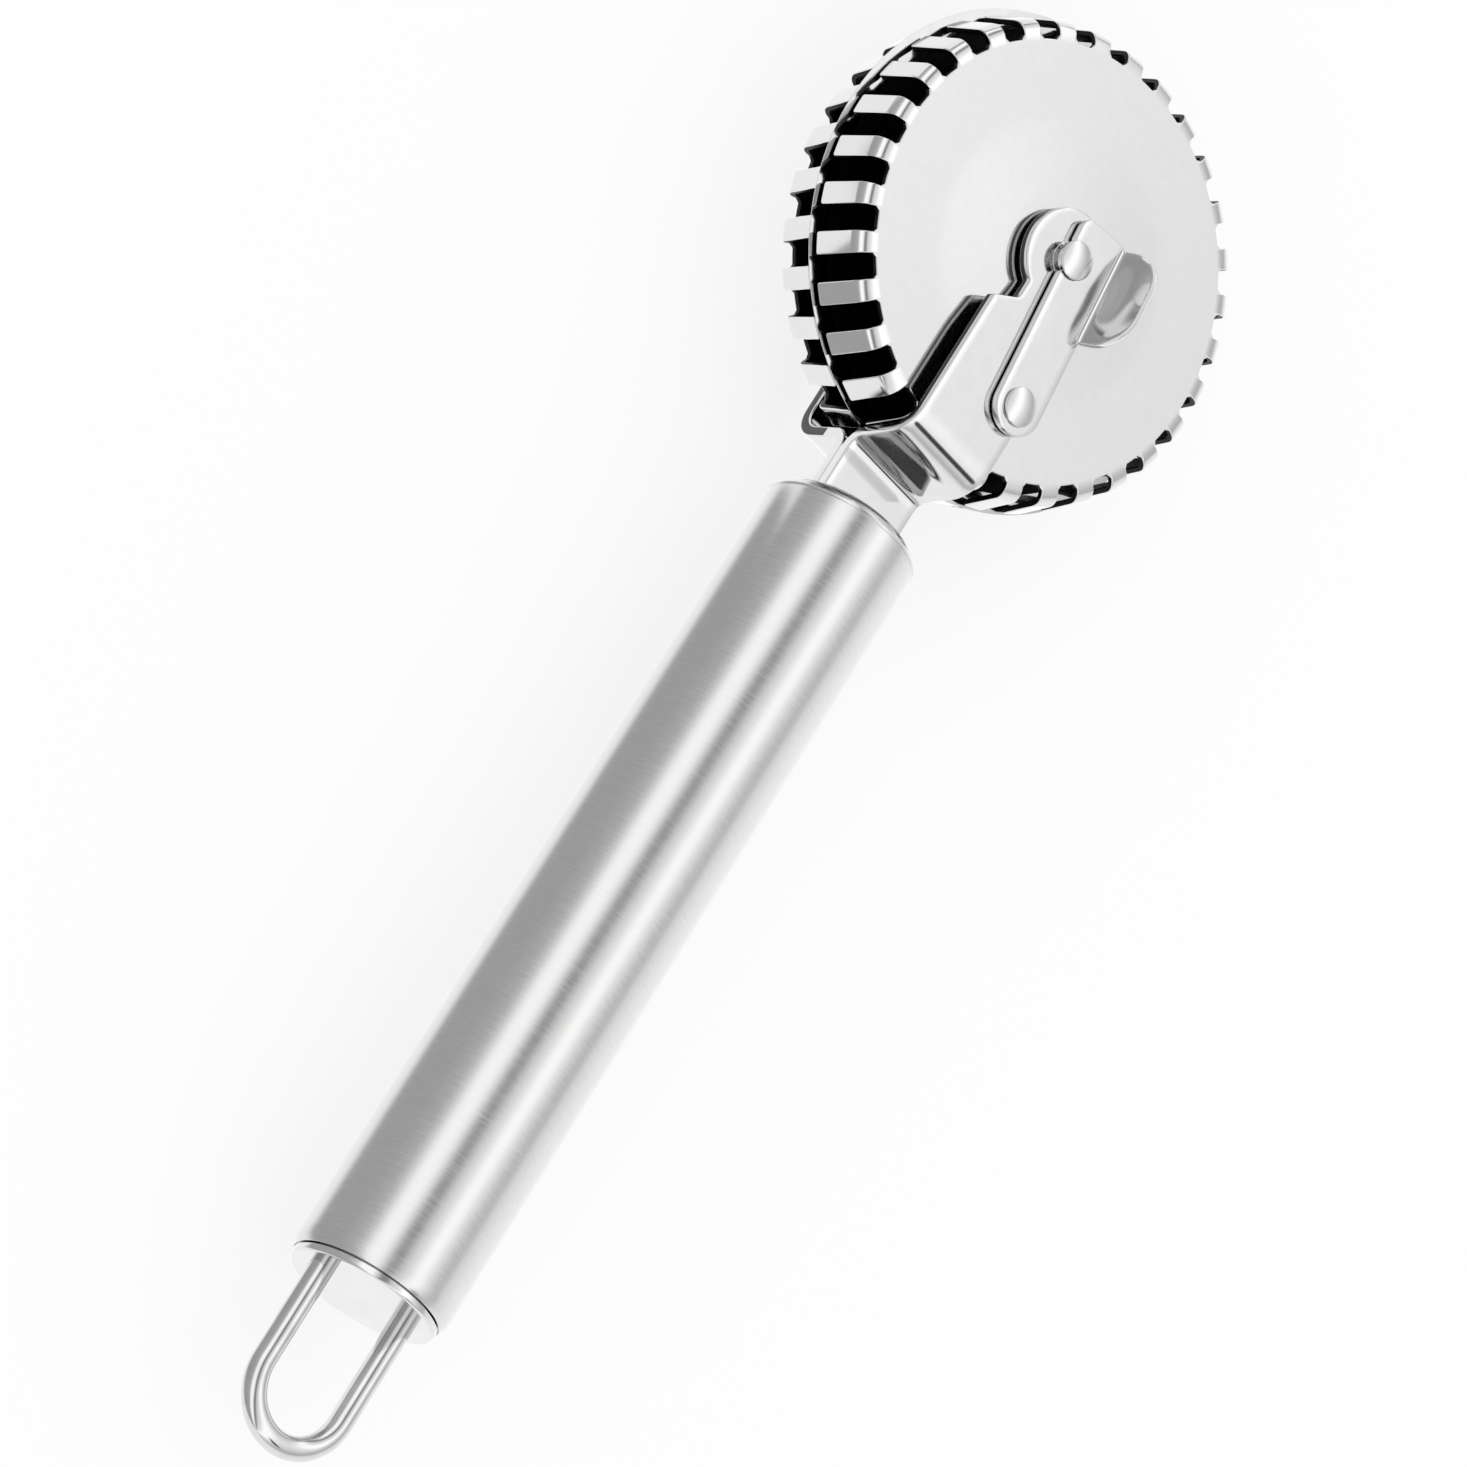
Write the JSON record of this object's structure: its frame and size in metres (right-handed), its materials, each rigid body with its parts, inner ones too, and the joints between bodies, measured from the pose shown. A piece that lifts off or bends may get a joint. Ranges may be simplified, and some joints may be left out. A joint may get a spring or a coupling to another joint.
{
  "type": "ravioli cutter",
  "caption": "Rolling ravioli cutter: a blade between two crimp wheels in a forked arm, with a latch over the axle, on a round steel handle with a hanging loop.",
  "frame": {"origin": "middle of the bounding box on the floor, the tool lying on its side with the foot of the axle down", "axes": "+X along the handle towards the wheels, +Z along the axle towards the latch"},
  "size_m": [0.2022, 0.061, 0.0312],
  "materials": {
    "brushed_steel": "satin, brushed round",
    "polished_steel": "polished",
    "satin_steel": "satin",
    "blade_steel": "ground",
    "filler": "matt"
  },
  "bodies": {
    "handle_and_fork": {"handle_tube": "brushed_steel", "front_cap": "polished_steel", "rear_cap": "polished_steel", "tang_plug": "filler", "loop_plug": "filler", "near_fork_arm": "polished_steel", "far_fork_arm": "polished_steel", "hanging_loop": "polished_steel", "axle_pin": "polished_steel", "latch_rivet": "polished_steel", "latch_washer": "polished_steel"},
    "wheel_set": {"near_crimp_wheel": "satin_steel", "far_crimp_wheel": "satin_steel", "cutting_blade": "blade_steel", "hub_sleeve": "polished_steel", "near_spacer": "satin_steel", "far_spacer": "satin_steel"},
    "latch": {"latch_plate": "polished_steel"}
  },
  "joints": [
    {"name": "wheel_spin", "type": "hinge", "parent": "handle_and_fork", "child": "wheel_set", "pos_m": [0.0706, 0, 0.0128], "axis": [0, 0, 1], "continuous": true},
    {"name": "latch_swing", "type": "hinge", "parent": "handle_and_fork", "child": "latch", "pos_m": [0.0516, -0.0042, 0.02475], "axis": [0, 0, -1], "range_deg": [0, 70]}
  ]
}
